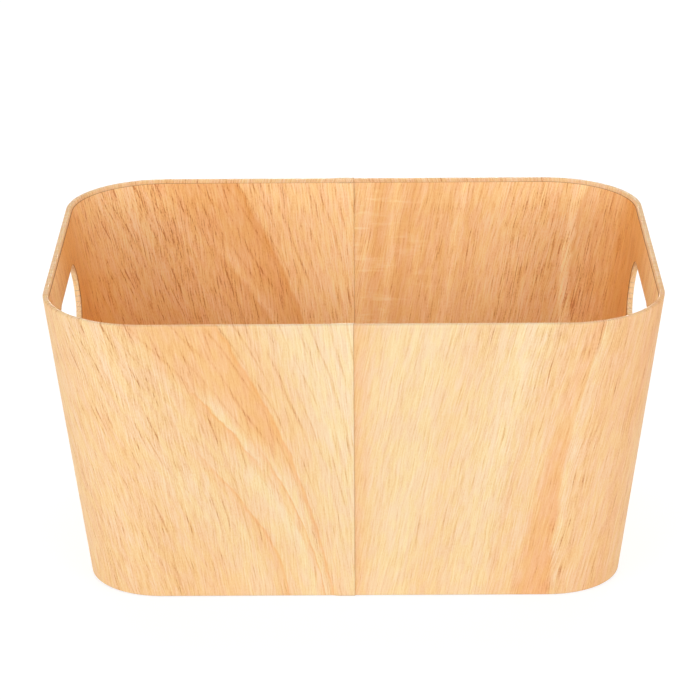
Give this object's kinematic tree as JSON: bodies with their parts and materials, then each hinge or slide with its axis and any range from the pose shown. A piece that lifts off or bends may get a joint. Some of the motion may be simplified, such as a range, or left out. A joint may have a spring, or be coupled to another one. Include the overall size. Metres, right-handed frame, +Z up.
{
  "type": "storage basket",
  "caption": "Tapered open basket of bent greyboard papered with a wood print inside and out, with rounded corners and a hand slot in each end wall, for holding bathroom things.",
  "frame": {"origin": "middle of the underside, in the plane that the basket stands on", "axes": "+X along the length to the right hand slot, +Y to the back, +Z up out of the open top"},
  "size_m": [0.3098, 0.2404, 0.1534],
  "materials": {
    "greyboard": "matte",
    "joint_tape": "matte",
    "wood_print_paper": "satin",
    "plain_paper": "matte"
  },
  "bodies": {
    "root": {"wall_board_left": "greyboard", "wall_board_right": "greyboard", "joint_tape_front": "joint_tape", "joint_tape_back": "joint_tape", "outer_wrap_left": "wood_print_paper", "outer_wrap_right": "wood_print_paper", "base_board": "greyboard", "inner_liner_left": "wood_print_paper", "inner_liner_right": "wood_print_paper", "floor_lining": "wood_print_paper", "underside_paper": "plain_paper"}
  },
  "joints": []
}
